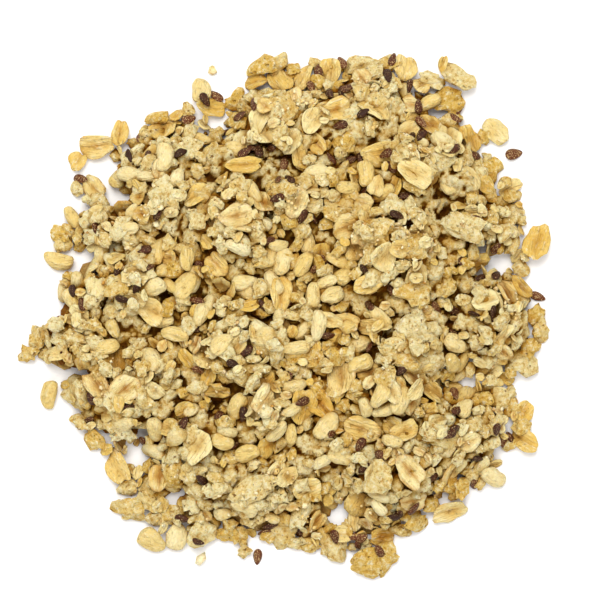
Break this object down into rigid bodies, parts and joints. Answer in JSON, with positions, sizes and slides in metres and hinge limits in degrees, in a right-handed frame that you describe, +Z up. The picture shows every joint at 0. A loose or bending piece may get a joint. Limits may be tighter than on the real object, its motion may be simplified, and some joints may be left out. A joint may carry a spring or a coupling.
{
  "type": "heap of granola",
  "caption": "Loose heap of baked oat clusters, rolled oat flakes, crisp puffs and linseeds, lying on a flat surface.",
  "frame": {"origin": "on the surface that the heap lies on, under the middle of the heap's box", "axes": "+Z up, away from that surface; +Y towards the heap's far side, as the picture's top edge; +X to its right"},
  "size_m": [0.1492, 0.1482, 0.0253],
  "materials": {
    "granola": "matte baked oat cluster, golden and crumbly",
    "oat_flake": "dry toasted oat flake, matte, browner at edge and crease",
    "crisp_puff": "smooth pale toasted puff with a faint sheen",
    "linseed": "glossy brown seed coat",
    "oat_crumb": "pale dry oat crumb"
  },
  "bodies": {
    "root": {"granola_heap": "granola"}
  },
  "joints": []
}
